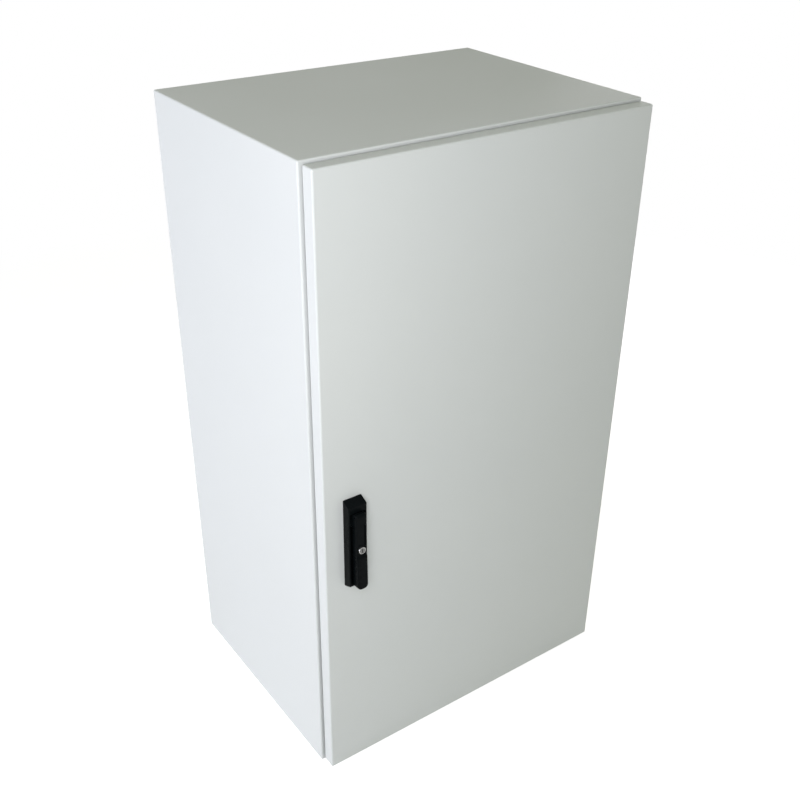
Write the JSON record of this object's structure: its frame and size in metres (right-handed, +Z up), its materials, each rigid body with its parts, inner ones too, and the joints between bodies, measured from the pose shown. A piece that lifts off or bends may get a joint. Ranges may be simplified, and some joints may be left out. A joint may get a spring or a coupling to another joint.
{
  "type": "outdoor rack cabinet",
  "caption": "Sealed upright equipment cabinet of folded sheet steel with an overlapping hinged front door, swing handle with rod latch, and rack rails inside.",
  "frame": {"origin": "on the underside of the body, in the middle of its width and depth", "axes": "+X to the right seen from the front, +Y to the rear, +Z up"},
  "size_m": [0.6, 0.4789, 1.05],
  "materials": {
    "grey_powder_coat": "fine powder coat, light grey, slightly glossy",
    "zinc_steel": "bright zinc plate",
    "earth_brass": "plain brass",
    "seal_foam": "closed-cell foam",
    "black_rubber": "moulded rubber",
    "black_cast": "satin black powder coat on die casting",
    "guide_nylon": "moulded nylon",
    "lock_nickel": "nickel plate"
  },
  "bodies": {
    "cabinet": {"body_shell": "grey_powder_coat", "gland_gasket": "seal_foam", "gland_plate": "zinc_steel", "gland_screws": "zinc_steel", "entry_grommets": "black_rubber", "rack_rail_left": "zinc_steel", "rack_rail_right": "zinc_steel", "depth_bar_left_bottom": "zinc_steel", "depth_bar_left_middle": "zinc_steel", "depth_bar_left_top": "zinc_steel", "depth_bar_right_bottom": "zinc_steel", "depth_bar_right_middle": "zinc_steel", "depth_bar_right_top": "zinc_steel", "bar_nuts": "zinc_steel", "body_earth_stud": "earth_brass", "body_earth_nut": "earth_brass", "rail_bolts": "zinc_steel", "rail_nuts": "zinc_steel", "hinge_arm_1": "zinc_steel", "hinge_arm_2": "zinc_steel", "hinge_arm_screws": "zinc_steel"},
    "door": {"door_leaf": "grey_powder_coat", "door_gasket": "seal_foam", "door_stiffener_left": "zinc_steel", "door_stiffener_right": "zinc_steel", "hinge_leaf_1": "zinc_steel", "hinge_leaf_2": "zinc_steel", "hinge_pin_1": "zinc_steel", "hinge_pin_2": "zinc_steel", "hinge_leaf_nuts": "zinc_steel", "door_earth_stud": "earth_brass", "door_earth_nut": "earth_brass", "handle_pad": "seal_foam", "handle_housing": "black_cast", "handle_screws": "zinc_steel", "gearbox_case": "zinc_steel", "gearbox_cover": "zinc_steel", "rod_guide_upper": "guide_nylon", "rod_guide_lower": "guide_nylon"},
    "hub": {"hub": "black_cast", "pinion": "zinc_steel", "latch_cam": "zinc_steel", "cam_bolt": "zinc_steel"},
    "lever": {"lever": "black_cast", "cross_pin": "zinc_steel", "lock_barrel": "lock_nickel"},
    "key_plug": {"key_plug": "lock_nickel"},
    "rod_upper": {"rod_upper": "zinc_steel"},
    "rod_lower": {"rod_lower": "zinc_steel"}
  },
  "joints": [
    {"name": "door_swing", "type": "hinge", "parent": "cabinet", "child": "door", "pos_m": [0.289, -0.231, 0.525], "axis": [0, 0, 1], "range_deg": [0, 130]},
    {"name": "handle_turn", "type": "hinge", "parent": "door", "child": "hub", "pos_m": [-0.2465, -0.2475, 0.512], "axis": [0, -1, 0], "range_deg": [0, 90]},
    {"name": "lever_lift", "type": "hinge", "parent": "hub", "child": "lever", "pos_m": [-0.2465, -0.25925, 0.525], "axis": [-1, 0, 0], "range_deg": [0, 30]},
    {"name": "key_turn", "type": "hinge", "parent": "lever", "child": "key_plug", "pos_m": [-0.2465, -0.261, 0.465], "axis": [0, -1, 0], "range_deg": [0, 90]},
    {"name": "rod_upper_slide", "type": "slide", "parent": "door", "child": "rod_upper", "axis": [0, 0, -1], "range_m": [0, 0.01375]},
    {"name": "rod_lower_slide", "type": "slide", "parent": "door", "child": "rod_lower", "axis": [0, 0, 1], "range_m": [0, 0.01375]}
  ],
  "couplings": [
    {"joint": "rod_upper_slide", "follows": "handle_turn", "m_per_rad": 0.00875},
    {"joint": "rod_lower_slide", "follows": "handle_turn", "m_per_rad": 0.00875}
  ]
}
